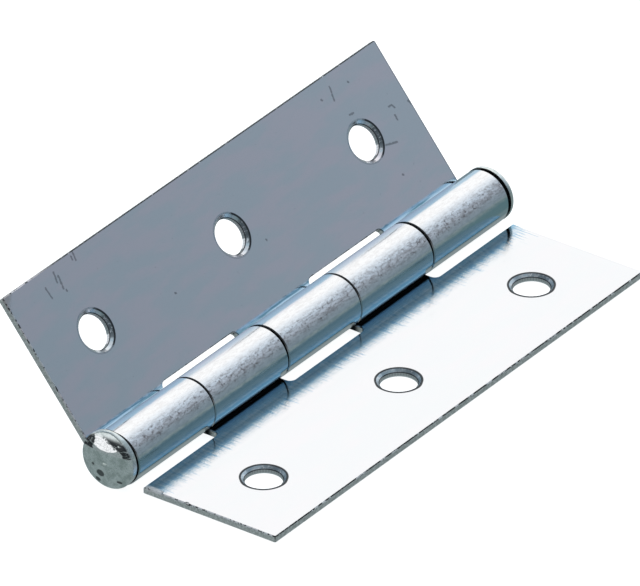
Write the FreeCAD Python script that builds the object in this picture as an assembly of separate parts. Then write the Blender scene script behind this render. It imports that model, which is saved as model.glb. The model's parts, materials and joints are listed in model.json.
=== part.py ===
import FreeCAD, Part
import math
import os

from FreeCAD import Vector

# Narrow butt hinge of zinc plated steel: two rolled sheet leaves on one riveted pin.
# Millimetres. Y runs along the pin from the near end to the far end, X points to the
# outer edge of the flat leaf, Z points up. The flat leaf lies with its back on Z = 0.
# The origin is the centre of the flat leaf's middle screw hole, on that back face.
# The leaf with three knuckles stands raised, as the hinge was left half open.

# Leaves
flat_leaf_length = 80.7
flat_leaf_shift = 0.15       # its middle lies this far towards the far end
flat_leaf_reach = 25.2       # pin axis to the outer edge
raised_leaf_length = 80.6
raised_leaf_shift = -0.15
raised_leaf_reach = 24.9
sheet_thickness = 1.0
leaf_corner_radius = 0.3     # outer corners, seen on the face
edge_break = 0.13            # sheared edges all round
free_edge_rounding = 0.15    # edge where the roll ends
raised_leaf_angle = 51.6     # degrees above level, leaning away from the flat leaf

# Knuckles
knuckle_count = 5            # odd: the raised leaf has the outer two
knuckle_pitch = 15.9         # the outer two knuckles are as long as their leaf leaves room for
knuckle_shift = -0.25
knuckle_gap = 0.24           # mean axial gap between neighbouring knuckles
raised_leaf_slide = 0.08     # raised leaf and pin have slid this far towards the far end
roll_opening = 49.0          # degrees from the leaf's face round to the roll's free edge
notch_clearance = 0.4        # knuckle to the bottom of the other leaf's notch
notch_corner_radius = 0.8

# Pin
pin_diameter = 5.6
pin_clearance = 0.04         # radial, pin to knuckle
near_head_height = 1.7
near_head_dome = 0.5
near_head_rounding = 0.45
near_head_overhang = 0.2     # radial, head past the knuckle
near_head_shift = -0.2       # the pressed head sits off centre: away from the flat leaf
near_head_lift = 0.35        # and up
strike_height = 1.45         # an oblique strike flattened the near head above this level
strike_angle = 24.0          # degrees that this flat leans back
strike_rounding = 0.28       # where the flat meets the rim
far_head_height = 1.35
far_head_dome = 0.5
far_head_rounding = 0.5
far_head_overhang = 0.02
head_gap = 0.5               # dark line between the head's rim and the knuckle
head_neck = 0.45             # radial, pin out to where that gap begins

# Screw holes
hole_count = 3
hole_pitch = 29.3
hole_diameter = 5.0
countersink_diameter = 5.95
countersink_angle = 90.0
flat_hole_line = 15.3        # pin axis to the line of holes
raised_hole_line = 14.6

# Small nick in the near edge of the flat leaf
nick_from_pin = 11.1
nick_radius = 0.35
nick_depth = 0.14

# Sizes that follow
roll_inner_radius = pin_diameter / 2 + pin_clearance
roll_outer_radius = roll_inner_radius + sheet_thickness
notch_reach = roll_outer_radius + notch_clearance
raised_near_end = raised_leaf_shift - raised_leaf_length / 2
raised_far_end = raised_leaf_shift + raised_leaf_length / 2
face_level = -roll_inner_radius
back_level = -roll_outer_radius
pin_x = -flat_hole_line
pin_z = roll_outer_radius
cutter_margin = 1.0


# Each leaf is drawn lying level with the pin axis at the origin: x runs out from the
# axis across the leaf, z is measured up from the axis, and the roll curls over the top.
def at_angle(radius, angle):
    """Point on a circle about the pin axis, the angle counted from straight down towards +x."""
    turn = math.radians(angle)
    return Vector(radius * math.sin(turn), 0, -radius * math.cos(turn))


def rolled_sheet(reach, length, middle):
    """Flat strip that runs along its whole length into a roll about the pin."""
    outer_edge_back = Vector(reach, 0, back_level)
    outer_edge_face = Vector(reach, 0, face_level)
    back_tangent = at_angle(roll_outer_radius, 0)
    face_tangent = at_angle(roll_inner_radius, 0)
    free_outer = at_angle(roll_outer_radius, roll_opening)
    free_inner = at_angle(roll_inner_radius, roll_opening)
    far_side = 180 + roll_opening / 2
    outer_arc = Part.Arc(back_tangent, at_angle(roll_outer_radius, far_side), free_outer)
    inner_arc = Part.Arc(free_inner, at_angle(roll_inner_radius, far_side), face_tangent)
    outline = Part.Wire([
        Part.makeLine(outer_edge_face, outer_edge_back),
        Part.makeLine(outer_edge_back, back_tangent),
        outer_arc.toShape(),
        Part.makeLine(free_outer, free_inner),
        inner_arc.toShape(),
        Part.makeLine(face_tangent, outer_edge_face),
    ])
    strip = Part.Face(outline).extrude(Vector(0, length, 0))
    strip.translate(Vector(0, middle - length / 2, 0))
    lengthwise = [edge for edge in strip.Edges if edge.BoundBox.YLength > length / 2]
    free_edges = []
    for edge in lengthwise:
        across = edge.CenterOfMass
        for corner in (free_outer, free_inner):
            if math.hypot(across.x - corner.x, across.z - corner.z) < 1e-6:
                free_edges.append(edge)
    return strip.makeFillet(free_edge_rounding, free_edges)


def knuckle_joint(index):
    """Place along the pin of the joint before the knuckle with this number."""
    return knuckle_shift + (index - knuckle_count / 2) * knuckle_pitch


def notch_cutter(index):
    """Room for one knuckle of the other leaf; its corners are rounded inside the sheet."""
    start = knuckle_joint(index) - knuckle_gap / 2
    end = knuckle_joint(index + 1) + knuckle_gap / 2
    open_near = index == 0
    open_far = index == knuckle_count - 1
    if open_near:
        start = -flat_leaf_length
    if open_far:
        end = flat_leaf_length
    reach = roll_outer_radius + cutter_margin
    cutter = Part.makeBox(reach + notch_reach, end - start, 2 * reach, Vector(-reach, start, -reach))
    rounded = []
    for edge in cutter.Edges:
        middle = edge.CenterOfMass
        upright = abs(edge.tangentAt(edge.FirstParameter).z) > 0.5
        inside = abs(middle.x - notch_reach) < 1e-6
        at_start = abs(middle.y - start) < 1e-6 and not open_near
        at_end = abs(middle.y - end) < 1e-6 and not open_far
        if upright and inside and (at_start or at_end):
            rounded.append(edge)
    return cutter.makeFillet(notch_corner_radius, rounded)


def screw_hole_cutter(hole_line, offset):
    """Straight hole with a conical countersink that opens on the face."""
    hole_radius = hole_diameter / 2
    rim_radius = countersink_diameter / 2
    depth = (rim_radius - hole_radius) / math.tan(math.radians(countersink_angle / 2))
    top = Vector(hole_line, offset, face_level)
    bottom = Vector(hole_line, offset, back_level - cutter_margin)
    hole = Part.makeCylinder(hole_radius, sheet_thickness + 2 * cutter_margin, bottom)
    cone = Part.makeCone(rim_radius, hole_radius, depth, top, Vector(0, 0, -1))
    mouth = Part.makeCylinder(rim_radius, cutter_margin, top)
    return hole.fuse([cone, mouth]).removeSplitter()


def hole_offsets():
    first = -(hole_count - 1) / 2
    return [(first + index) * hole_pitch for index in range(hole_count)]


def round_outer_corners(leaf, reach):
    corners = []
    for edge in leaf.Edges:
        middle = edge.CenterOfMass
        upright = abs(edge.tangentAt(edge.FirstParameter).z) > 0.5
        if upright and abs(middle.x - reach) < 1e-6:
            corners.append(edge)
    return leaf.makeFillet(leaf_corner_radius, corners)


def soften_edges(leaf):
    """Break the sheared edges of the sheet and, where they run on tangent, of the rolls."""
    rim_edges = []
    for edge in leaf.Edges:
        box = edge.BoundBox
        flat = box.ZLength < 1e-6
        on_sheet = flat and min(abs(box.ZMin - face_level), abs(box.ZMin - back_level)) < 1e-6
        past_roll = box.XMin > notch_reach - notch_corner_radius - 1e-6
        if on_sheet and past_roll:
            rim_edges.append(edge)
    return leaf.makeChamfer(edge_break, rim_edges)


def make_leaf(own_knuckles, hole_line, reach, length, middle):
    leaf = rolled_sheet(reach, length, middle)
    cutters = [notch_cutter(index) for index in range(knuckle_count) if index not in own_knuckles]
    leaf = leaf.cut(cutters)
    leaf = round_outer_corners(leaf, reach)
    leaf = soften_edges(leaf)
    holes = [screw_hole_cutter(hole_line, offset) for offset in hole_offsets()]
    return leaf.cut(holes)


def make_three_knuckle_leaf():
    """The raised leaf: laid down on the other side of the pin and then swung up."""
    own = range(0, knuckle_count, 2)
    leaf = make_leaf(own, raised_hole_line, raised_leaf_reach, raised_leaf_length, raised_leaf_shift)
    leaf = leaf.mirror(Vector(0, 0, 0), Vector(1, 0, 0))
    leaf.rotate(Vector(0, 0, 0), Vector(0, 1, 0), raised_leaf_angle)
    leaf.translate(Vector(pin_x, raised_leaf_slide, pin_z))
    return leaf


def make_two_knuckle_leaf():
    """The flat leaf, with the small nick in its near edge."""
    own = range(1, knuckle_count, 2)
    leaf = make_leaf(own, flat_hole_line, flat_leaf_reach, flat_leaf_length, flat_leaf_shift)
    near_end = flat_leaf_shift - flat_leaf_length / 2
    nick_centre = Vector(nick_from_pin, near_end, face_level - nick_depth)
    nick = Part.makeCylinder(nick_radius, sheet_thickness, nick_centre)
    leaf = leaf.cut(nick)
    leaf.translate(Vector(pin_x, 0, pin_z))
    return leaf


def pin_head(end, outward, height, dome, rounding, overhang):
    """Turned pin head whose neck bears on the knuckle at `end` and which rises outwards."""
    def point(radius, level):
        return Vector(radius, end + outward * level, 0)
    neck = pin_diameter / 2 + head_neck
    head_radius = roll_outer_radius + overhang
    shoulder = height - rounding
    turn = rounding * (1 - math.sqrt(0.5))
    dome_radius = head_radius - rounding
    dome_span = (dome_radius ** 2 + dome ** 2) / (2 * dome)
    half_way = dome_radius / 2
    half_rise = math.sqrt(dome_span ** 2 - half_way ** 2) - (dome_span - dome)
    rounded_edge = Part.Arc(
        point(head_radius, shoulder),
        point(head_radius - turn, height - turn),
        point(dome_radius, height),
    )
    crown = Part.Arc(
        point(dome_radius, height),
        point(half_way, height + half_rise),
        point(0, height + dome),
    )
    outline = Part.Wire([
        Part.makeLine(point(0, 0), point(neck, 0)),
        Part.makeLine(point(neck, 0), point(neck, head_gap)),
        Part.makeLine(point(neck, head_gap), point(head_radius, head_gap)),
        Part.makeLine(point(head_radius, head_gap), point(head_radius, shoulder)),
        rounded_edge.toShape(),
        crown.toShape(),
        Part.makeLine(point(0, height + dome), point(0, 0)),
    ])
    return Part.Face(outline).revolve(Vector(0, 0, 0), Vector(0, 1, 0), 360)


def strike_flat(head):
    """Cut the oblique flat on the upper part of the near head and soften its upper rim."""
    foot = Vector(0, raised_near_end - near_head_height - near_head_dome, strike_height)
    lean = math.radians(strike_angle)
    outward = Vector(0, -math.cos(lean), math.sin(lean))
    size = 4 * roll_outer_radius
    tool = Part.makeBox(2 * size, size, size, Vector(-size, -size, 0))
    tool.rotate(Vector(0, 0, 0), Vector(1, 0, 0), -strike_angle)
    tool.translate(foot)
    struck = head.cut(tool)
    head_radius = roll_outer_radius + near_head_overhang
    upper_rim = []
    for edge in struck.Edges:
        ends = [vertex.Point for vertex in edge.Vertexes]
        on_flat = all(abs((point - foot).dot(outward)) < 1e-5 for point in ends)
        on_rim = all(abs(math.hypot(point.x, point.z) - head_radius) < 1e-5 for point in ends)
        if on_flat and on_rim:
            upper_rim.append(edge)
    if upper_rim:
        struck = struck.makeFillet(strike_rounding, upper_rim)
    return struck


def make_hinge_pin():
    """One pin with a pressed head at the near end and a riveted head at the far end."""
    start = Vector(0, raised_near_end, 0)
    axis = Vector(0, 1, 0)
    shank = Part.makeCylinder(pin_diameter / 2, raised_leaf_length, start, axis)
    near_head = pin_head(
        raised_near_end, -1, near_head_height, near_head_dome, near_head_rounding, near_head_overhang
    )
    near_head = strike_flat(near_head)
    near_head.translate(Vector(near_head_shift, 0, near_head_lift))
    far_head = pin_head(
        raised_far_end, 1, far_head_height, far_head_dome, far_head_rounding, far_head_overhang
    )
    pin = shank.fuse([near_head, far_head]).removeSplitter()
    pin.translate(Vector(pin_x, raised_leaf_slide, pin_z))
    return pin


os.makedirs("parts", exist_ok=True)
make_two_knuckle_leaf().exportStep("parts/two_knuckle_leaf.step")
make_three_knuckle_leaf().exportStep("parts/three_knuckle_leaf.step")
make_hinge_pin().exportStep("parts/hinge_pin.step")
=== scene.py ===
import functools
import json
import math

import bpy
from mathutils import Matrix, Vector

bl_info = {
    "name": "Narrow butt hinge",
    "version": (1, 0, 0),
    "blender": (4, 5, 0),
    "location": "3D View > Sidebar > Hinge",
    "description": "Zinc plated narrow butt hinge, its plating, sheared edges and studio",
    "category": "Object",
}

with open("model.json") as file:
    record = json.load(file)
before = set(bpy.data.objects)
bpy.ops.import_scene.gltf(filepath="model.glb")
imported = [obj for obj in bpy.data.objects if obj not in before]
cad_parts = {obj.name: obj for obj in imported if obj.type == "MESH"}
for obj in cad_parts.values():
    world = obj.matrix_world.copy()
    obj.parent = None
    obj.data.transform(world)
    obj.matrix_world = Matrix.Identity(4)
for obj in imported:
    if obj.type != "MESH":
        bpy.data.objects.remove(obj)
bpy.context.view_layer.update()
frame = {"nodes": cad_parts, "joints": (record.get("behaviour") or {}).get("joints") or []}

# Shape of the hinge, read from the frame or shared with the solids, in millimetres
MM = 1000.0
PIN_AXIS = Vector(frame["joints"][0]["pos_m"]) * MM
ROLL_OUTER = 3.84
ROLL_INNER = 2.84
FACE_LEVEL = -ROLL_INNER
BACK_LEVEL = -ROLL_OUTER
RAISED_ANGLE = math.radians(51.6)
HALF_LENGTH = 40.0
HOLE_PITCH = 29.3
HOLE_RADIUS = 2.5
RIM_RADIUS = 2.975
NEAR_HEAD_SHIFT = -0.2
NEAR_HEAD_LIFT = 0.35

ALONG_PIN = Vector((0.0, 1.0, 0.0))
FLAT_OUT = Vector((1.0, 0.0, 0.0))
FLAT_FACE = Vector((0.0, 0.0, 1.0))
RAISED_OUT = Vector((-math.cos(RAISED_ANGLE), 0.0, math.sin(RAISED_ANGLE)))
RAISED_FACE = Vector((math.sin(RAISED_ANGLE), 0.0, math.cos(RAISED_ANGLE)))


class Value:
    """A socket that takes part in arithmetic: each operator adds one Math node."""

    def __init__(self, graph, socket):
        self.graph = graph
        self.socket = socket

    def _math(self, operation, *values):
        return self.graph.node("ShaderNodeMath", {"operation": operation}, dict(enumerate(values)))

    def __add__(self, other):
        return self._math("ADD", self, other)

    def __radd__(self, other):
        return self._math("ADD", other, self)

    def __sub__(self, other):
        return self._math("SUBTRACT", self, other)

    def __rsub__(self, other):
        return self._math("SUBTRACT", other, self)

    def __mul__(self, other):
        return self._math("MULTIPLY", self, other)

    def __rmul__(self, other):
        return self._math("MULTIPLY", other, self)

    def __truediv__(self, other):
        return self._math("DIVIDE", self, other)

    def __rtruediv__(self, other):
        return self._math("DIVIDE", other, self)

    def __abs__(self):
        return self._math("ABSOLUTE", self)

    def __pow__(self, other):
        return self._math("POWER", self, other)

    def beyond_nearest(self, pitch):
        """Signed distance from the nearest multiple of a pitch."""
        return self - self._math("SNAP", self + pitch / 2, pitch)

    def most(self, other):
        return self._math("MAXIMUM", self, other)

    def angle_from(self, other):
        """Angle of the point (other, self), as atan2 gives it."""
        return self._math("ARCTAN2", self, other)


class Graph:
    """Nodes of one material or world."""

    def __init__(self, owner):
        owner.use_nodes = True
        self.tree = owner.node_tree
        self.tree.nodes.clear()

    def node(self, kind, settings=None, inputs=None, output=0):
        """One node: its settings first, then values or links for its sockets."""
        made = self.tree.nodes.new(kind)
        for name, value in (settings or {}).items():
            if name == "stops":
                self._fill_ramp(made.color_ramp, value)
            else:
                setattr(made, name, value)
        for name, value in (inputs or {}).items():
            socket = made.inputs[name]
            if isinstance(value, Value):
                self.tree.links.new(value.socket, socket)
            else:
                socket.default_value = value
        return Value(self, made.outputs[output]) if made.outputs else made

    @staticmethod
    def _fill_ramp(ramp, stops):
        while len(ramp.elements) > 1:
            ramp.elements.remove(ramp.elements[-1])
        ramp.elements[0].position = stops[0][0]
        ramp.elements[0].color = stops[0][1]
        for place, colour in stops[1:]:
            ramp.elements.new(place).color = colour

    def smooth(self, value, start, end):
        """0 before start, 1 after end, and a smooth step between."""
        settings = {"interpolation_type": "SMOOTHSTEP"}
        return self.node("ShaderNodeMapRange", settings, {"Value": value, "From Min": start, "From Max": end})

    def fading(self, value, start, end):
        """1 before start, 0 after end, and a smooth step between."""
        return 1 - self.smooth(value, start, end)

    def mix(self, factor, first, second):
        """The first colour where the factor is 0, the second where it is 1."""
        settings = {"data_type": "RGBA", "blend_type": "MIX"}
        return self.node("ShaderNodeMix", settings, {0: factor, 6: first, 7: second}, output=2)

    def noise(self, place, scale, detail, roughness, stretch=None):
        """Noise; stretch multiplies the place first, one factor for each axis."""
        if stretch:
            place = self.scaled(place, stretch)
        inputs = {"Vector": place, "Scale": scale, "Detail": detail, "Roughness": roughness}
        return self.node("ShaderNodeTexNoise", {}, inputs)

    def along(self, place, direction):
        """Component of a vector along a direction."""
        settings = {"operation": "DOT_PRODUCT"}
        return self.node("ShaderNodeVectorMath", settings, {0: place, 1: direction}, output="Value")

    def scaled(self, place, factors):
        """A vector times one factor for each axis."""
        return self.node("ShaderNodeVectorMath", {"operation": "MULTIPLY"}, {0: place, 1: factors})


def rgba(colour):
    """The colour with full opacity."""
    return (colour[0], colour[1], colour[2], 1.0)


class HingePlating(bpy.types.PropertyGroup):
    """Colours and finish of the zinc plating, with the colours of its painted reflections, highlight and
    shade.
    """

    zinc: bpy.props.FloatVectorProperty(
        name="Zinc", description="Bright zinc on the faces of the leaves",
        subtype="COLOR", min=0.0, max=1.0, default=(0.92, 0.93, 0.94))
    knuckle: bpy.props.FloatVectorProperty(
        name="Knuckle", description="Plating on the rolled knuckles",
        subtype="COLOR", min=0.0, max=1.0, default=(0.95, 0.96, 0.97))
    sheared: bpy.props.FloatVectorProperty(
        name="Sheared edge", description="Plating over the broken metal of the sheared edges",
        subtype="COLOR", min=0.0, max=1.0, default=(0.86, 0.88, 0.86))
    # Painted reflection: blue that deepens the rolls' mirror image on the flat leaf beside them; it also
    # tints the painted reflections on the rolls' upper backs, in the countersinks and where the raised leaf
    # meets its rolls.
    painted_blue_reflection: bpy.props.FloatVectorProperty(
        name="Beside the roll", description="Plating of the flat leaf close to the knuckles",
        subtype="COLOR", min=0.0, max=1.0, default=(0.50, 0.64, 0.78))
    grain_tint: bpy.props.FloatVectorProperty(
        name="Grain", description="Worn grain on top of the knuckles",
        subtype="COLOR", min=0.0, max=1.0, default=(0.45, 0.42, 0.41))
    pore: bpy.props.FloatVectorProperty(
        name="Pores", description="Brown grey pores in the worn grain",
        subtype="COLOR", min=0.0, max=1.0, default=(0.20, 0.17, 0.165))
    # Painted reflection: the blue that the knuckles' side over the flat leaf mirrors.
    painted_flank_reflection: bpy.props.FloatVectorProperty(
        name="Knuckle flank", description="Bluer plating on the side of the knuckles over the flat leaf",
        subtype="COLOR", min=0.0, max=1.0, default=(0.33, 0.51, 0.565))
    # Dark colour for real burrs, nicks, scratches, specks and pits, and for painted shade: dark lines round
    # the holes and along the edges, the countersinks' far side and round the near head's painted highlight.
    burr_and_painted_shade: bpy.props.FloatVectorProperty(
        name="Burr", description="Dark line where a sheared edge meets a face",
        subtype="COLOR", min=0.0, max=1.0, default=(0.06, 0.065, 0.07))
    # Painted shade: near black inside the rolls, in the slit beside them, in the joints and in the gaps
    # behind the pin heads.
    painted_recess_shade: bpy.props.FloatVectorProperty(
        name="Inside the rolls", description="Bare and greasy metal that the plating doesn't reach",
        subtype="COLOR", min=0.0, max=1.0, default=(0.012, 0.014, 0.016))
    head: bpy.props.FloatVectorProperty(
        name="Pin head", description="Duller plating on the pressed pin heads",
        subtype="COLOR", min=0.0, max=1.0, default=(0.80, 0.85, 0.84))
    # Painted highlight on the upper part of the near pin head.
    struck_highlight: bpy.props.FloatVectorProperty(
        name="Struck flat", description="Burnished metal of the flat struck into the near head",
        subtype="COLOR", min=0.0, max=1.0, default=(0.99, 0.99, 0.99))
    face_roughness: bpy.props.FloatProperty(
        name="Face roughness", description="Roughness of the leaves' faces", min=0.0, max=1.0, default=0.07)
    grain: bpy.props.FloatProperty(
        name="Grain", description="Height of the fine grain of the rolled metal, in millimetres",
        min=0.0, max=0.1, default=0.004)


class HingeStudio(bpy.types.PropertyGroup):
    """Camera and light of the studio."""

    azimuth: bpy.props.FloatProperty(
        name="Azimuth", description="Camera direction round the hinge",
        subtype="ANGLE", unit="ROTATION", default=math.radians(36.49))
    elevation: bpy.props.FloatProperty(
        name="Elevation", description="Camera direction above the floor",
        subtype="ANGLE", unit="ROTATION", default=math.radians(31.42))
    roll: bpy.props.FloatProperty(
        name="Roll", description="Turn of the camera about its line of sight",
        subtype="ANGLE", unit="ROTATION", default=math.radians(-0.64))
    distance: bpy.props.FloatProperty(
        name="Distance", description="Camera to the near end of the pin",
        subtype="DISTANCE", unit="LENGTH", min=0.1, default=2.388)
    brightness: bpy.props.FloatProperty(
        name="Brightness", description="Strength of the soft light all round", min=0.0, max=5.0, default=1.05)


# Steps of the finish are pairs: where a change starts and where it is complete, all in millimetres. Reach
# counts out from the pin's axis and level up from it.
SHEET_REACH = (2.4, 3.6)
FREE_EDGE_REACH = (0.5, 1.2)
BESIDE_ROLL_REACH = (2.85, 3.2)
# Reach of the painted blue reflection beside the rolls, and of the painted streaks at its edge
BLUE_REFLECTION_REACH = (4.5, 6.2)
STREAK_REACH = (5.2, 6.2)
BOW_REACH = (5.0, 9.0)
RIPPLE_REACH = (9.0, 12.0)
VALLEY_REACH = (3.9, 4.3)
FLAT_OUTER_REACH = (24.6, 24.8)
RAISED_OUTER_REACH = (24.3, 24.5)

OVER_FACE = (FACE_LEVEL + 0.02, FACE_LEVEL + 0.1)
AT_FACE = (FACE_LEVEL - 0.06, FACE_LEVEL - 0.02)
UPPER_THIRD = (FACE_LEVEL - 0.3, FACE_LEVEL - 0.2)
OFF_BACK = (BACK_LEVEL + 0.01, BACK_LEVEL + 0.05)
OVER_BACK = (BACK_LEVEL + 0.1, BACK_LEVEL + 0.2)
MID_LEVEL = (BACK_LEVEL + 0.3, BACK_LEVEL + 0.5)

# The streaks at the edge of the painted blue reflection beside the rolls thin out past a middle reach, by
# this much noise per millimetre
STREAK_MIDDLE = 6.0
STREAK_THINNING = 0.085

# Distance from the pin's axis, and from the middle of a hole
INSIDE_RADIUS = (ROLL_INNER + 0.04, ROLL_INNER + 0.25)
RIM_START = (RIM_RADIUS - 0.09, RIM_RADIUS - 0.02)
RIM_END = (RIM_RADIUS + 0.18, RIM_RADIUS + 0.26)
CONE_START = (HOLE_RADIUS, HOLE_RADIUS + 0.05)
LIP_START = (HOLE_RADIUS - 0.02, HOLE_RADIUS + 0.02)
LIP_END = (HOLE_RADIUS + 0.07, HOLE_RADIUS + 0.13)

# Place along the pin from its middle; the raised leaf's outer near corner by that place less the reach
RAISED_EDGE_PLACE = (-38.0, -26.0)
RAISED_END_PLACE = (39.7, 39.9)
FAR_EDGE_PLACE = (39.85, 39.95)
CORNER = (-64.2, -63.0)
NEAR_HEAD_PLACE = (-41.9, -41.6)
NEAR_GAP_PLACE = (-40.99, -40.94)
FAR_GAP_PLACE = (40.70, 40.74)

# Share of the normal that points along the face's normal or along the pin
WALL_TILT = (0.25, 0.4)
END_TILT = (0.75, 0.9)
ROLL_RIM_TILT = (0.25, 0.5)
BROKEN_START_TILT = (0.6, 0.68)
BROKEN_END_TILT = (0.8, 0.93)

# Turn round a roll, in degrees from straight up towards the flat leaf; the free edge's turn counts from
# the way its own leaf faces
WORN_START_TURN = (20.0, 40.0)
WORN_END_TURN = (50.0, 64.0)
# Where the painted reflection on the rolls' side over the flat leaf starts, turns paler and ends
FLANK_TURN = (68.0, 84.0)
FLANK_PALER_TURN = (92.0, 98.0)
FLANK_END_TURN = (106.0, 111.0)
# Where the painted blue reflection on the rolls' upper back lies
BACK_TOP_START_TURN = (-75.0, -45.0)
BACK_TOP_END_TURN = (-10.0, -2.0)
ROLL_RIM_TURN = (50.0, 80.0)
FREE_EDGE_TURN = (125.0, 129.0)

# Turn round a hole, in radians from the far end of the pin towards the leaf's outer edge
FAR_SIDE_START = (-0.9, -0.7)
FAR_SIDE_END = (0.3, 0.6)
TINTED_START = (-1.1, -0.9)
PLAIN_RIM_TURN = (0.9, 1.2)
PLAIN_RIM_MIDDLE = -0.1

# Steps of the noises, which run from 0 to 1 about 0.5
GRAIN_NOISE = (0.38, 0.66)
CLOUD_NOISE = (0.36, 0.62)
PORE_SPECK_NOISE = (0.54, 0.61)
PORE_LINE_NOISE = (0.40, 0.50)
BURR_NOISE = (0.53, 0.58)
DARK_EDGE_NOISE = (0.3, 0.45)
RIM_NOISE = (0.22, 0.34)
CONE_NOISE = (0.3, 0.6)
CONE_DARK_NOISE = (0.35, 0.5)
GLINT_NOISE = (0.48, 0.54)
STREAK_NOISE = (0.45, 0.49)
SEAM_NOISE = (0.42, 0.60)
SPECK_NOISE = (0.70, 0.74)
HEAD_BLOTCH_NOISE = (0.34, 0.62)
HEAD_GRAIN_NOISE = (0.52, 0.7)
STRUCK_HIGHLIGHT_NOISE = (0.6, 0.7)
FOLD_NOISE = (0.55, 0.61)
CREASE = (0.004, 0.018)
SPOT_EDGE = (0.75, 1.25)

# Tints: factors on red, green and blue; all but PURPLE, TEAL and DULL_HEAD are tints of painted reflections
PURPLE = (0.95, 0.90, 0.935)
TEAL = (0.86, 0.905, 0.93)
BESIDE_ROLL_REFLECTION = (0.56, 0.78, 0.85)
STREAK_REFLECTION = (0.85, 0.97, 1.0)
VALLEY_REFLECTION_DARK = (0.40, 0.55, 0.55)
VALLEY_REFLECTION_LIGHT = (1.15, 1.15, 1.10)
BACK_TOP_REFLECTION = (0.80, 0.90, 0.90)
CONE_REFLECTION = (1.1, 1.05, 0.95)
DULL_HEAD = (0.72, 0.76, 0.74)

# Scratches on the raised leaf, each from one point to another by reach from the pin and place along it
SCRATCHES = (
    ((24.8, -25.8), (23.6, -26.0)),
    ((24.3, -26.4), (23.9, -26.5)),
    ((23.9, -30.5), (22.6, -30.8)),
    ((23.2, -30.1), (21.5, -30.4)),
    ((22.8, -33.1), (21.3, -33.0)),
    ((21.1, -30.1), (21.0, -30.1)),
    ((23.2, 28.7), (21.4, 28.2)),
    ((22.4, 26.2), (22.3, 26.3)),
    ((22.4, 32.0), (22.3, 32.1)),
    ((16.6, 36.1), (16.6, 36.7)),
    ((16.6, 36.7), (16.1, 37.0)),
    ((15.2, 36.3), (14.6, 36.3)),
    ((18.7, 29.2), (18.6, 30.0)),
    ((12.7, 32.1), (12.2, 34.2)),
    ((8.3, 32.0), (8.2, 32.1)),
    ((11.6, 4.8), (11.5, 4.9)),
    ((12.7, -13.9), (12.6, -13.8)),
    ((15.8, 39.7), (15.3, 39.9)),
)
SCRATCH_WIDTH = 0.2

# Where the flat leaf's near corner is rubbed, and the nick in its near edge
RUBBED = ((4.4, -40.1), (6.6, -40.1))
RUBBED_WIDTH = 0.7
NICK = ((11.1, -40.3), (11.5, -40.2))
NICK_WIDTH = 0.22

# Heights of the relief, in heights of the grain
BOW = 67.0
RUBBED_DEPTH = 55.0
RIPPLE = 5.0

# The camera's side of a hole on the flat leaf, out from the pin and along it, and how far its painted dark
# rim is wider there
CAMERA_SIDE = (0.6, -0.8)
CAMERA_SIDE_START = (0.6, 2.0)
WIDER_RIM = 0.12

# The painted highlight on the near head's upper part and the painted dark reflection round it, in millimetres
# up or to one side of the head's middle
STRUCK_HIGHLIGHT_HEIGHT = (1.3, 1.5)
CRUSHED_REFLECTION_HEIGHT = (2.85, 3.1)
CRUSHED_REFLECTION_LEFT = (1.8, 2.0)
CRUSHED_REFLECTION_RIGHT = (2.5, 2.75)

# Pits in the near head: middle, half sizes and how ragged the outline is
PITS = (
    ((-0.75, -1.8), (0.62, 0.5), 0.3),
    ((-1.35, -3.0), (0.42, 0.34), 0.4),
    ((2.1, -2.4), (0.4, 0.2), 0.4),
    ((-1.9, -0.8), (0.22, 0.2), 0.5),
)


def shade(colour, *factors):
    """The colour times one factor, or times one factor for each of red, green and blue."""
    if len(factors) == 1:
        factors = factors * 3
    return tuple(min(1.0, part * factor) for part, factor in zip(colour, factors)) + (1.0,)


def finish_metal(graph, colour, roughness, relief, plating):
    """Closes a graph with metal of this colour and roughness, its relief counted in heights of the grain."""
    bump = graph.node("ShaderNodeBump", {}, {
        "Strength": 0.5, "Distance": plating.grain / MM, "Height": relief})
    shader = graph.node("ShaderNodeBsdfPrincipled", {}, {
        "Base Color": colour, "Metallic": 1.0, "Roughness": roughness, "Normal": bump})
    graph.node("ShaderNodeOutputMaterial", {}, {"Surface": shader})


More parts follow.
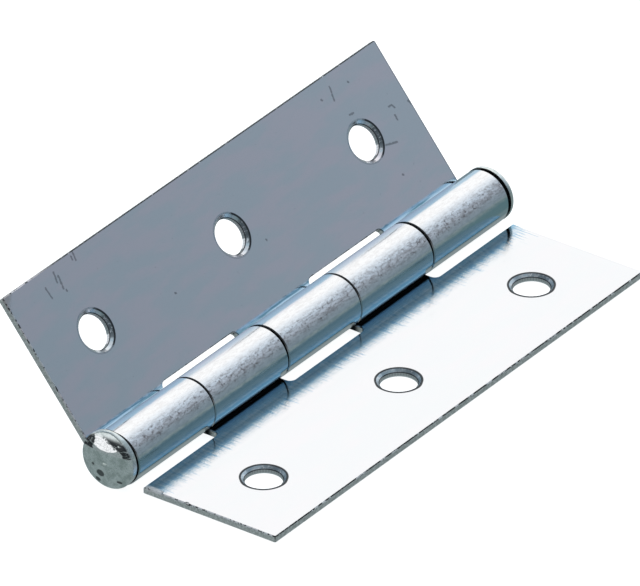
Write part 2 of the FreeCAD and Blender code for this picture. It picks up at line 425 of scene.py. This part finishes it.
class LeafFinish(Graph):
    """Plating of a leaf, from where a point lies and which part of the leaf it is on.

    The parts are masks: 1 on the part, 0 off it.
    """

    def __init__(self, plating):
        self.material = bpy.data.materials.new(self.MATERIAL)
        super().__init__(self.material)
        self.plating = plating
        self.find_place()
        self.add_noises()
        self.find_parts()
        self.find_hole()
        self.find_edges()
        self.find_painted_recess_shade()
        colour = self.mix(self.rolled, self.face_colour(), self.roll_colour())
        colour = self.edge_colour(colour)
        colour = self.hole_colour(colour)
        # Dark marks, real burrs and painted shade alike, then the near black painted shade of the recesses
        colour = self.mix(self.burr_and_painted_shade, colour, rgba(plating.burr_and_painted_shade))
        colour = self.mix(self.painted_recess_shade, colour, rgba(plating.painted_recess_shade))
        finish_metal(self, colour, self.roughness(), self.relief(), plating)

    def find_place(self):
        """Places in millimetres, turns in degrees, and the normal's parts upwards and along the pin."""
        coordinates = self.node("ShaderNodeTexCoord", output="Object")
        normal = self.node("ShaderNodeTexCoord", output="Normal")
        self.place = self.scaled(coordinates, (MM, MM, MM))
        self.reach = self.along(self.place, self.OUT) - PIN_AXIS.dot(self.OUT)
        self.level = self.along(self.place, self.FACE) - PIN_AXIS.dot(self.FACE)
        self.along_pin = self.along(self.place, ALONG_PIN) - self.SLIDE
        self.upright = abs(self.along(normal, self.FACE))
        self.endways = abs(self.along(normal, ALONG_PIN))
        side = self.along(self.place, FLAT_OUT) - PIN_AXIS.x
        height = self.along(self.place, FLAT_FACE) - PIN_AXIS.z
        self.round_roll = side.angle_from(height) * math.degrees(1)
        self.own_turn = self.reach.angle_from(self.level) * math.degrees(1)

    def add_noises(self):
        """Patterns of the metal: the drawn one runs round the rolls, the one across runs out from the pin."""
        place = self.place
        self.fine = self.noise(place, scale=5.0, detail=3.0, roughness=0.6)
        self.across = self.noise(place, scale=1.0, detail=5.0, roughness=0.7, stretch=(0.3, 3.0, 0.3))
        self.drawn = self.noise(place, scale=1.0, detail=4.0, roughness=0.7, stretch=(3.2, 0.9, 3.2))
        self.speck = self.noise(place, scale=3.2, detail=4.0, roughness=0.75, stretch=(1.0, 0.7, 1.0))
        self.lines = self.noise(place, scale=2.0, detail=4.0, roughness=0.65, stretch=(1.0, 0.5, 1.0))
        self.ragged = self.speck - 0.5

    def find_parts(self):
        """The sheet, the rolls, the ends of both, and the worn top of the rolls."""
        self.low = self.fading(self.level, *OVER_FACE)
        self.on_face = self.smooth(self.level, *UPPER_THIRD) * self.low
        self.on_sheet = self.smooth(self.reach, *SHEET_REACH) * self.low
        self.end_face = self.smooth(self.endways, *END_TILT)
        self.rolled = (1 - self.on_sheet) * (1 - self.end_face)
        self.worn = self.smooth(self.round_roll, *WORN_START_TURN)
        self.worn = self.worn * self.fading(self.round_roll, *WORN_END_TURN)

    def find_hole(self):
        """Distance from the nearest hole in millimetres, turn about it in radians, and its parts."""
        self.outwards = self.reach - self.HOLE_LINE
        self.onwards = self.along_pin.beyond_nearest(HOLE_PITCH)
        self.round_hole = self.outwards.angle_from(self.onwards)
        self.from_hole = (self.outwards ** 2 + self.onwards ** 2) ** 0.5
        self.near_hole = self.fading(self.from_hole - self.wider_rim(), *RIM_END)
        off_back = self.smooth(self.level, *OFF_BACK)
        self.cone = self.smooth(self.from_hole, *CONE_START) * self.near_hole * off_back
        # Painted shade: a dark line round the rim of each hole, left out on part of the raised leaf's rims
        rim = self.smooth(self.from_hole, *RIM_START) * self.near_hole * off_back
        self.plain_rim = self.find_plain_rim()
        self.rim = rim * self.smooth(self.lines, *RIM_NOISE) * (1 - 0.75 * self.plain_rim)
        lip = self.smooth(self.from_hole, *LIP_START) * self.fading(self.from_hole, *LIP_END)
        self.lip = lip * self.smooth(self.level, *OVER_BACK)

    def find_edges(self):
        """Sheared walls, and the broken edges of the back and of the face, away from the holes."""
        wall = self.fading(self.upright, *WALL_TILT) * self.on_sheet
        off_hole = 1 - self.near_hole
        self.sheared = wall.most(self.end_face) * off_hole
        slope = self.upright.most(self.endways)
        broken = self.smooth(slope, *BROKEN_START_TILT) * self.fading(slope, *BROKEN_END_TILT) * self.on_sheet
        upper = self.smooth(self.level, *MID_LEVEL)
        self.back_edge = broken * (1 - upper) * off_hole
        self.face_edge = broken * upper * off_hole

    def find_painted_recess_shade(self):
        """Painted shade inside the rolls, under their free edge, in the joints and on the rims of the rolls.
        """
        radius = (self.reach * self.reach + self.level * self.level) ** 0.5
        inside = self.fading(radius, *INSIDE_RADIUS)
        self.above_back = self.smooth(self.reach, *FREE_EDGE_REACH) * self.smooth(self.level, *AT_FACE)
        under = self.above_back * (1 - self.low) * self.smooth(self.own_turn, *FREE_EDGE_TURN)
        in_joint = self.end_face * (1 - self.on_sheet)
        roll_rim = self.smooth(self.endways, *ROLL_RIM_TILT) * (1 - self.on_sheet)
        roll_rim = roll_rim * (1 - 0.75 * self.smooth(self.round_roll, *ROLL_RIM_TURN))
        self.painted_recess_shade = inside.most(under).most(in_joint).most(roll_rim * 0.9)

    def mottled(self):
        """Zinc that drifts between a purple and a teal tinge."""
        cloud = self.noise(self.place, scale=1.0, detail=3.0, roughness=0.5, stretch=(0.4, 0.12, 0.4))
        zinc = self.plating.zinc
        return self.mix(self.smooth(cloud, *CLOUD_NOISE), shade(zinc, *PURPLE), shade(zinc, *TEAL))

    def roll_colour(self):
        """Worn grain with pores on top of the rolls, a painted blue reflection on their side over the flat
        leaf, and a painted blue reflection on their upper back.
        """
        plating = self.plating
        knuckle = rgba(plating.knuckle)
        grained = self.mix(self.smooth(self.drawn, *GRAIN_NOISE), knuckle, rgba(plating.grain_tint))
        colour = self.mix(0.2 + 0.6 * self.worn, knuckle, grained)
        pores = self.smooth(self.speck, *PORE_SPECK_NOISE) * self.smooth(self.lines, *PORE_LINE_NOISE)
        colour = self.mix(pores * self.worn * 0.9, colour, rgba(plating.pore))
        # Painted reflection on the side of the rolls over the flat leaf, paler further round, then mostly
        # gone
        paler = 0.25 * self.smooth(self.round_roll, *FLANK_PALER_TURN)
        ended = 0.65 * self.smooth(self.round_roll, *FLANK_END_TURN)
        painted_flank_reflection = self.smooth(self.round_roll + self.drawn * 12, *FLANK_TURN) * (1 - paler - ended)
        colour = self.mix(painted_flank_reflection, colour, rgba(plating.painted_flank_reflection))
        # Painted blue reflection on the upper back of the rolls
        back_top_reflection = self.smooth(self.round_roll, *BACK_TOP_START_TURN)
        back_top_reflection = back_top_reflection * self.fading(self.round_roll + self.drawn * 8, *BACK_TOP_END_TURN)
        return self.mix(back_top_reflection * self.BACK_TOP_REFLECTION_SHARE, colour, shade(plating.painted_blue_reflection, *BACK_TOP_REFLECTION))

    def edge_colour(self, colour):
        """Broken metal on the sheared walls, painted shade on the lower broken edges, then the marks of this
        leaf; its dark lines, real burrs and painted shade alike, are gathered to be mixed in last.
        """
        sheared = self.plating.sheared
        broken = self.mix(self.smooth(self.speck, *GRAIN_NOISE), shade(sheared, 0.72), shade(sheared, 1.18))
        colour = self.mix(self.sheared, colour, broken)
        # Painted shade: the lower broken edges darker
        colour = self.mix(self.back_edge, colour, shade(sheared, 0.5))
        colour = self.mark_face(colour)
        self.burr_and_painted_shade = self.burr_and_painted_shade.most(self.rim).most(self.lip)
        return colour

    def hole_colour(self, colour):
        """Countersinks with a painted blue reflection, and painted shade on the side that faces the near end.
        """
        cone_reflection_tint = self.cone * self.smooth(self.drawn, *CONE_NOISE) * self.tinted_share()
        colour = self.mix(cone_reflection_tint, colour, shade(self.plating.painted_blue_reflection, *CONE_REFLECTION))
        far_side = self.smooth(self.round_hole, *FAR_SIDE_START) * self.fading(self.round_hole, *FAR_SIDE_END)
        # Painted shade on the countersink's side that faces the near end
        dark = self.cone * far_side * self.CONE_SHADE_DARKNESS * self.smooth(self.drawn, *CONE_DARK_NOISE)
        return self.mix(dark, colour, rgba(self.plating.burr_and_painted_shade))

    def roughness(self):
        """Glossy faces; duller sheared walls, worn edges, countersinks and the metal under the painted shade
        of the recesses.
        """
        roughness = self.plating.face_roughness + 0.04 * self.fine + 0.07 * self.rolled + 0.3 * self.painted_recess_shade
        roughness = roughness + 0.3 * self.sheared.most(self.back_edge)
        roughness = roughness + 0.55 * self.face_edge.most(self.rubbed)
        return roughness + self.CONE_ROUGHNESS * self.cone

    def relief(self):
        """Fine grain all over, rough on the sheared walls, and drawn grain on the rolls."""
        relief = self.fine * (0.2 + 1.2 * self.rolled + 4.0 * self.sheared)
        relief = relief + self.speck * (3.0 * self.sheared)
        return relief + self.drawn * (0.4 + 2.2 * self.worn) * self.rolled

    def stroke(self, ends, width, ragged):
        """1 on a line between two points of the leaf, 0 beside it; ragged breaks it up."""
        start, end = Vector(ends[0]), Vector(ends[1])
        length = (end - start).length
        run = (end - start) / length
        outwards = self.reach - start.x
        onwards = self.along_pin - start.y
        travelled = outwards * run.x + onwards * run.y
        beside = onwards * run.x - outwards * run.y
        beyond = (travelled * -1.0).most(travelled - length).most(0.0)
        distance = (beside * beside + beyond * beyond) ** 0.5 + ragged
        return self.fading(distance, width * 0.4, width)


class FlatLeafFinish(LeafFinish):
    """The leaf with two knuckles, which lies flat: bright, with the rolls' dark mirror image beside them,
    deepened by a painted blue reflection.
    """

    MATERIAL = "flat_leaf_zinc_plating"
    OUT = FLAT_OUT
    FACE = FLAT_FACE
    HOLE_LINE = 15.3
    SLIDE = 0.0
    BACK_TOP_REFLECTION_SHARE = 0.4
    CONE_SHADE_DARKNESS = 0.4
    CONE_ROUGHNESS = 0.3

    def wider_rim(self):
        """How far the painted shade on the rim of a hole reaches further out on the camera's side, in
        millimetres.
        """
        facing = self.outwards * CAMERA_SIDE[0] + self.onwards * CAMERA_SIDE[1]
        return self.smooth(facing, *CAMERA_SIDE_START) * WIDER_RIM

    def find_plain_rim(self):
        """Nowhere: the painted dark line runs all round."""
        return 0.0

    def tinted_share(self):
        """The whole countersink."""
        return 1.0

    def find_painted_recess_shade(self):
        super().find_painted_recess_shade()
        # Painted shade in the slit where the rolls meet the flat leaf
        beside = self.fading(self.reach + self.across * 0.3, *BESIDE_ROLL_REACH)
        self.painted_recess_shade = self.painted_recess_shade.most(self.above_back * self.low * beside)

    def face_colour(self):
        """Plain zinc, with a painted blue reflection beside the rolls that deepens their mirror image, and
        painted streaks of reflection at its edge.
        """
        plating = self.plating
        colour = self.mix(0.8, self.mottled(), rgba(plating.zinc))
        feathered = self.reach + (self.across - 0.5) * 3.0
        colour = self.mix(self.fading(feathered, *BLUE_REFLECTION_REACH), colour, shade(plating.painted_blue_reflection, *BESIDE_ROLL_REFLECTION))
        combed = self.noise(self.place, scale=1.0, detail=4.0, roughness=0.65, stretch=(0.22, 5.5, 0.22))
        thinning = (self.reach - STREAK_MIDDLE) * STREAK_THINNING
        streaks = self.smooth(combed - thinning, *STREAK_NOISE) * self.smooth(self.reach, *STREAK_REACH)
        return self.mix(streaks, colour, shade(plating.painted_blue_reflection, *STREAK_REFLECTION))

    def mark_face(self, colour):
        """Burrs along the edges, denser as painted shade along the outer edge, the nick in the near edge and
        the rubbed near corner.
        """
        # Painted shade: the dark line along the edges is denser along the outer edge
        outer = self.smooth(self.reach, *FLAT_OUTER_REACH)
        burr_and_painted_shade = self.face_edge * self.smooth(self.lines + 0.12 * outer, *BURR_NOISE)
        nick = self.stroke(NICK, NICK_WIDTH, self.ragged * 0.1)
        self.burr_and_painted_shade = burr_and_painted_shade.most(nick * self.on_face)
        self.rubbed = self.stroke(RUBBED, RUBBED_WIDTH, self.ragged * 0.5) * self.on_face
        return self.mix(self.rubbed, colour, rgba(self.plating.knuckle))

    def relief(self):
        """Ripples across the leaf, and its slight bow up towards the rolls."""
        ripples = self.across * RIPPLE * (1 - self.rolled) * self.fading(self.reach, *RIPPLE_REACH)
        bow = self.fading(self.reach + (self.across - 0.5) * 0.6, *BOW_REACH)
        return super().relief() + ripples + BOW * self.low * bow - RUBBED_DEPTH * self.rubbed


class RaisedLeafFinish(LeafFinish):
    """The leaf with three knuckles, which stands up: mottled, with scratches and specks, and a painted
    reflection of its rolls beside them.
    """

    MATERIAL = "raised_leaf_zinc_plating"
    OUT = RAISED_OUT
    FACE = RAISED_FACE
    HOLE_LINE = 14.6
    SLIDE = 0.08
    BACK_TOP_REFLECTION_SHARE = 1.0
    CONE_SHADE_DARKNESS = 0.75
    CONE_ROUGHNESS = 0.12

    def wider_rim(self):
        """No wider on any side."""
        return 0.0

    def find_plain_rim(self):
        """1 where the rim of a hole has no painted dark line."""
        return self.smooth(abs(self.round_hole - PLAIN_RIM_MIDDLE + self.ragged), *PLAIN_RIM_TURN)

    def tinted_share(self):
        """Less painted reflection tint on the glints of the plain part of the rim, and none on the side next
        to the pin.
        """
        glints = self.plain_rim * self.smooth(self.fine, *GLINT_NOISE)
        return self.smooth(self.round_hole, *TINTED_START) * (1 - glints)

    def face_colour(self):
        """Mottled zinc, with a painted reflection of the rolls, streaked dark and light, where the sheet
        meets them.
        """
        painted_blue_reflection = self.plating.painted_blue_reflection
        seam_streaks = self.noise(self.place, scale=1.0, detail=3.0, roughness=0.6, stretch=(2.6, 0.12, 2.6))
        seam_reflection = self.smooth(seam_streaks, *SEAM_NOISE)
        seam_reflection = self.mix(seam_reflection, shade(painted_blue_reflection, *VALLEY_REFLECTION_DARK), shade(painted_blue_reflection, *VALLEY_REFLECTION_LIGHT))
        valley_reflection = self.fading(self.reach + (self.drawn - 0.5) * 0.8, *VALLEY_REACH)
        return self.mix(valley_reflection, self.mottled(), seam_reflection)

    def mark_face(self, colour):
        """Burrs, painted shade as dark lines along the outer and far edges, scratches, specks and the worn
        outer near corner.
        """
        burr_and_painted_shade = self.face_edge * self.smooth(self.lines, *BURR_NOISE)
        # Painted shade: dark lines along the outer and far edges
        outer = self.smooth(self.reach, *RAISED_OUTER_REACH) * self.smooth(self.along_pin, *RAISED_EDGE_PLACE)
        outer = self.face_edge * outer.most(self.smooth(self.along_pin, *RAISED_END_PLACE))
        far = self.smooth(self.along_pin + self.ragged * 0.1, *FAR_EDGE_PLACE) * self.on_face * 0.7
        burr_and_painted_shade = burr_and_painted_shade.most(outer * self.smooth(self.lines, *DARK_EDGE_NOISE)).most(far)
        for ends in SCRATCHES:
            scratch = self.stroke(ends, SCRATCH_WIDTH, self.ragged * 0.5)
            burr_and_painted_shade = burr_and_painted_shade.most(scratch * self.on_face * 0.5)
        specks = self.noise(self.place, scale=1.9, detail=3.0, roughness=0.8)
        specks = self.smooth(specks, *SPECK_NOISE)
        self.burr_and_painted_shade = burr_and_painted_shade.most(specks * self.on_face * 0.5)
        corner = self.fading(self.along_pin - self.reach + self.ragged * 2.0, *CORNER)
        self.rubbed = corner * self.on_face * 0.5
        return self.mix(corner * self.on_face * 0.7, colour, rgba(self.plating.grain_tint))


def spot(graph, across, upwards, middle, size, edge):
    """1 inside an ellipse on the near head, given its middle and half sizes; edge breaks its outline."""
    from_middle = ((across - middle[0]) / size[0]) ** 2 + ((upwards - middle[1]) / size[1]) ** 2
    return graph.fading(from_middle + edge, *SPOT_EDGE)


def pin_material(plating):
    """Plating of the pin: its pitted near head with a painted highlight and a painted dark reflection round
    it, and painted shade in the gaps behind both heads.
    """
    material = bpy.data.materials.new("pin_zinc_plating")
    graph = Graph(material)
    coordinates = graph.node("ShaderNodeTexCoord", output="Object")
    place = graph.scaled(coordinates, (MM, MM, MM))
    across = graph.along(place, FLAT_OUT) - (PIN_AXIS.x + NEAR_HEAD_SHIFT)
    upwards = graph.along(place, FLAT_FACE) - (PIN_AXIS.z + NEAR_HEAD_LIFT)
    along_pin = graph.along(place, ALONG_PIN)
    near_head = graph.fading(along_pin, *NEAR_HEAD_PLACE)
    gap_shade = graph.smooth(along_pin, *NEAR_GAP_PLACE) * graph.fading(along_pin, *FAR_GAP_PLACE)

    fine = graph.noise(place, scale=4.5, detail=4.0, roughness=0.65)
    blotch = graph.noise(place, scale=0.9, detail=4.0, roughness=0.7)
    ragged = (graph.noise(place, scale=1.6, detail=5.0, roughness=0.75) - 0.5) * 2.2
    folds = graph.noise(place, scale=1.0, detail=4.0, roughness=0.7, stretch=(1.2, 1.0, 4.5))

    # The painted highlight on the near head's upper part: bright below, and a painted dark reflection towards
    # the rim
    struck_highlight = graph.smooth(upwards + ragged * 0.12, *STRUCK_HIGHLIGHT_HEIGHT) * near_head
    top = graph.smooth(upwards + across * 0.45 + ragged * 0.8, *CRUSHED_REFLECTION_HEIGHT)
    left = graph.smooth(ragged * 0.7 - across, *CRUSHED_REFLECTION_LEFT)
    right = graph.smooth(across + ragged * 0.6, *CRUSHED_REFLECTION_RIGHT)
    crushed_dark_reflection = top.most(left).most(right) * struck_highlight
    creases = graph.fading(abs(folds - 0.5), *CREASE)
    bright = struck_highlight * (1 - crushed_dark_reflection) * (1 - 0.8 * creases)
    crushed_dark_reflection = crushed_dark_reflection * (1 - 0.8 * graph.smooth(folds, *FOLD_NOISE))
    pits = [spot(graph, across, upwards, middle, size, ragged * edge) for middle, size, edge in PITS]
    pits = functools.reduce(Value.most, pits) * near_head

    head = plating.head
    colour = graph.mix(graph.smooth(blotch, *HEAD_BLOTCH_NOISE), shade(head, *DULL_HEAD), shade(head, 1.12))
    colour = graph.mix(graph.smooth(fine, *HEAD_GRAIN_NOISE) * 0.35, colour, shade(head, 0.55))
    highlight_metal = bright * (1 - 0.5 * graph.smooth(fine, *STRUCK_HIGHLIGHT_NOISE))
    colour = graph.mix(highlight_metal, colour, rgba(plating.struck_highlight))
    colour = graph.mix(crushed_dark_reflection.most(struck_highlight * creases * 0.6), colour, rgba(plating.burr_and_painted_shade))
    colour = graph.mix(pits * 0.85, colour, rgba(plating.burr_and_painted_shade))
    # Painted shade in the gaps behind both heads
    colour = graph.mix(gap_shade, colour, rgba(plating.painted_recess_shade))
    roughness = 0.22 + 0.12 * fine + 0.15 * pits + 0.2 * crushed_dark_reflection - 0.1 * bright
    relief = fine * 1.2 + blotch * 5.0 - pits * 20.0 - crushed_dark_reflection * 6.0
    finish_metal(graph, colour, roughness, relief, plating)
    return material


def finish_node(name, material):
    """Gives a CAD node its material."""
    node = frame["nodes"].get(name)
    if node is None:
        raise RuntimeError("the frame has no node " + name)
    node.data.materials.clear()
    node.data.materials.append(material)


class HINGE_OT_flat_leaf(bpy.types.Operator):
    """Plate the flat leaf with its two knuckles"""
    bl_idname = "hinge.flat_leaf"
    bl_label = "Flat leaf"

    def execute(self, context):
        finish_node("two_knuckle_leaf", FlatLeafFinish(context.scene.hinge_plating).material)
        return {"FINISHED"}


class HINGE_OT_raised_leaf(bpy.types.Operator):
    """Plate the raised leaf with its three knuckles"""
    bl_idname = "hinge.raised_leaf"
    bl_label = "Raised leaf"

    def execute(self, context):
        finish_node("three_knuckle_leaf", RaisedLeafFinish(context.scene.hinge_plating).material)
        return {"FINISHED"}


class HINGE_OT_pin(bpy.types.Operator):
    """Plate the pin and its two pressed heads"""
    bl_idname = "hinge.pin"
    bl_label = "Pin"

    def execute(self, context):
        finish_node("hinge_pin", pin_material(context.scene.hinge_plating))
        return {"FINISHED"}


# The floor, in metres, just under the hinge, and its tones: seen, and as the hinge mirrors it
FLOOR_HALF = 6.0
FLOOR_HEIGHT = -0.00005
FLOOR_COLOUR = (0.86, 0.86, 0.87, 1.0)
FLOOR_GLOW = 0.84
MIRRORED_TABLE = (0.260, 0.310, 0.318, 1.0)
WHITE = (1.0, 1.0, 1.0, 1.0)


def make_floor():
    """A pale floor that keeps the shadow; the bright plating mirrors it as a darker table."""
    mesh = bpy.data.meshes.new("floor")
    corners = [(x * FLOOR_HALF, y * FLOOR_HALF, 0.0) for x, y in ((-1, -1), (1, -1), (1, 1), (-1, 1))]
    mesh.from_pydata(corners, [], [(0, 1, 2, 3)])
    floor = bpy.data.objects.new("floor", mesh)
    floor.location.z = FLOOR_HEIGHT
    bpy.context.scene.collection.objects.link(floor)
    material = bpy.data.materials.new("pale_floor")
    graph = Graph(material)
    lit = graph.node("ShaderNodeBsdfDiffuse", {}, {"Color": FLOOR_COLOUR})
    glow = graph.node("ShaderNodeEmission", {}, {"Color": WHITE, "Strength": FLOOR_GLOW})
    shown = graph.node("ShaderNodeAddShader", {}, {0: lit, 1: glow})
    seen = graph.node("ShaderNodeLightPath", output="Is Camera Ray")
    surface = graph.node("ShaderNodeMixShader", {}, {0: seen, 1: lit, 2: shown})
    table = graph.node("ShaderNodeEmission", {}, {"Color": MIRRORED_TABLE, "Strength": 1.0})
    mirrored = graph.node("ShaderNodeLightPath", output="Is Glossy Ray")
    surface = graph.node("ShaderNodeMixShader", {}, {0: mirrored, 1: surface, 2: table})
    graph.node("ShaderNodeOutputMaterial", {}, {"Surface": surface})
    mesh.materials.append(material)


# Tone of the surroundings from the side away from the soft light, at 0, to the light's own side, at 1
SKY_STOPS = (
    (0.00, (0.160, 0.175, 0.190, 1.0)),
    (0.35, (0.140, 0.160, 0.175, 1.0)),
    (0.46, (0.115, 0.140, 0.160, 1.0)),
    (0.50, (0.110, 0.160, 0.190, 1.0)),
    (0.5585, (0.165, 0.225, 0.265, 1.0)),
    (0.587, (0.262, 0.305, 0.355, 1.0)),
    (0.6175, (0.360, 0.405, 0.470, 1.0)),
    (0.672, (0.510, 0.600, 0.700, 1.0)),
    (0.7745, (0.840, 0.890, 0.940, 1.0)),
    (0.84, (1.0, 1.0, 1.0, 1.0)),
)

# The soft light's side, and the tones of the other patches of light
LIGHT_SIDE = Vector((-0.6, 0.8, 0.0))
FILL = (0.300, 0.335, 0.365, 1.0)
ZENITH = (0.600, 0.640, 0.680, 1.0)
LOW_BAND = (0.92, 0.94, 0.96, 1.0)

# Where each patch of light starts and is full, by parts of the direction upwards, sideways and away
FILL_AWAY = (0.15, 0.5)
FILL_SIDEWAYS = (-0.2, 0.5)
ZENITH_UP = (0.80, 0.95)
LOW_UP = (0.22, 0.5)
LOW_SIDEWAYS = (0.0, 0.45)


def light_world(brightness):
    """Soft white light from behind on the left, white low down on that side, and grey elsewhere."""
    world = bpy.data.worlds.new("soft_studio")
    bpy.context.scene.world = world
    graph = Graph(world)
    direction = graph.node("ShaderNodeTexCoord", output="Generated")
    towards_light = graph.along(direction, LIGHT_SIDE) / 2 + 0.5
    sky = graph.node("ShaderNodeValToRGB", {"stops": SKY_STOPS}, {"Fac": towards_light})
    sideways = graph.along(direction, FLAT_OUT)
    upwards = graph.along(direction, FLAT_FACE)
    away = graph.along(direction, ALONG_PIN)
    fill = graph.fading(away, *FILL_AWAY) * graph.smooth(sideways, *FILL_SIDEWAYS)
    room = graph.mix(fill, sky, FILL)
    room = graph.mix(graph.smooth(upwards, *ZENITH_UP), room, ZENITH)
    low = graph.fading(upwards, *LOW_UP) * graph.fading(sideways, *LOW_SIDEWAYS)
    room = graph.mix(low, room, LOW_BAND)
    seen = graph.node("ShaderNodeLightPath", output="Is Camera Ray")
    colour = graph.mix(seen, room, WHITE)
    strength = seen + (1 - seen) * brightness
    background = graph.node("ShaderNodeBackground", {}, {"Color": colour, "Strength": strength})
    graph.node("ShaderNodeOutputWorld", {}, {"Surface": background})


PHOTO_WIDTH = 640
PHOTO_HEIGHT = 586
SENSOR_MM = 36.0

# The camera fitted to the photo: where it stands to the right of and above the near end, in lengths of the
# pin, its focal length in pixels at one length away, and the pixel that the line of sight falls on
CAMERA_ASIDE = 0.4136
CAMERA_ABOVE = 0.0001
FOCAL_PIXELS = 625.79
SIGHT_PIXEL = (376.3, 457.3)


def place_camera(studio):
    """Long lens at the photo's angle; the fit's off-centre middle is taken up by aiming."""
    right = Vector((math.cos(studio.azimuth), math.sin(studio.azimuth), 0.0))
    level_back = Vector((math.sin(studio.azimuth), -math.cos(studio.azimuth), 0.0))
    back = level_back * math.cos(studio.elevation) + FLAT_FACE * math.sin(studio.elevation)
    up = FLAT_FACE * math.cos(studio.elevation) - level_back * math.sin(studio.elevation)
    roll = studio.roll
    turned_right = right * math.cos(roll) + up * math.sin(roll)
    turned_up = up * math.cos(roll) - right * math.sin(roll)
    near_end = Vector((PIN_AXIS.x, PIN_AXIS.y - HALF_LENGTH, PIN_AXIS.z)) / MM
    length = 2 * HALF_LENGTH / MM
    aside = (turned_right * CAMERA_ASIDE + turned_up * CAMERA_ABOVE) * length
    location = near_end + aside + back * studio.distance
    focal_pixels = FOCAL_PIXELS * studio.distance / length
    aim = turned_right * (PHOTO_WIDTH / 2 - SIGHT_PIXEL[0]) + turned_up * (SIGHT_PIXEL[1] - PHOTO_HEIGHT / 2)
    aim = aim - back * focal_pixels
    new_back = -aim.normalized()
    new_right = (turned_right - new_back * turned_right.dot(new_back)).normalized()
    new_up = new_back.cross(new_right)
    data = bpy.data.cameras.new("camera")
    data.sensor_width = SENSOR_MM
    data.lens = aim.length * SENSOR_MM / PHOTO_WIDTH
    data.clip_start = 0.1
    data.clip_end = 50.0
    camera = bpy.data.objects.new("camera", data)
    bpy.context.scene.collection.objects.link(camera)
    turn = Matrix((new_right, new_up, new_back)).transposed()
    camera.matrix_world = Matrix.Translation(location) @ turn.to_4x4()
    bpy.context.scene.camera = camera


class HINGE_OT_stage(bpy.types.Operator):
    """Lay the floor, light the studio and place the camera"""
    bl_idname = "hinge.stage"
    bl_label = "Stage"

    def execute(self, context):
        studio = context.scene.hinge_studio
        make_floor()
        light_world(studio.brightness)
        place_camera(studio)
        context.scene.view_settings.view_transform = "Standard"
        return {"FINISHED"}


class HINGE_PT_sidebar(bpy.types.Panel):
    """Sizes, colours and steps of the hinge"""
    bl_idname = "HINGE_PT_sidebar"
    bl_label = "Hinge"
    bl_space_type = "VIEW_3D"
    bl_region_type = "UI"
    bl_category = "Hinge"

    def draw(self, context):
        for group in (context.scene.hinge_plating, context.scene.hinge_studio):
            box = self.layout.box()
            for name in type(group).__annotations__:
                box.prop(group, name)
        for operator in OPERATORS:
            self.layout.operator(operator.bl_idname)


OPERATORS = (HINGE_OT_flat_leaf, HINGE_OT_raised_leaf, HINGE_OT_pin, HINGE_OT_stage)
CLASSES = (HingePlating, HingeStudio) + OPERATORS + (HINGE_PT_sidebar,)


def register():
    """Adds the properties, operators and sidebar."""
    for cls in CLASSES:
        bpy.utils.register_class(cls)
    bpy.types.Scene.hinge_plating = bpy.props.PointerProperty(type=HingePlating)
    bpy.types.Scene.hinge_studio = bpy.props.PointerProperty(type=HingeStudio)


def unregister():
    """Takes them away again."""
    del bpy.types.Scene.hinge_studio
    del bpy.types.Scene.hinge_plating
    for cls in reversed(CLASSES):
        bpy.utils.unregister_class(cls)


def main():
    """Builds the scene."""
    register()
    bpy.ops.hinge.flat_leaf()
    bpy.ops.hinge.raised_leaf()
    bpy.ops.hinge.pin()
    bpy.ops.hinge.stage()


if __name__ == "__main__":
    main()
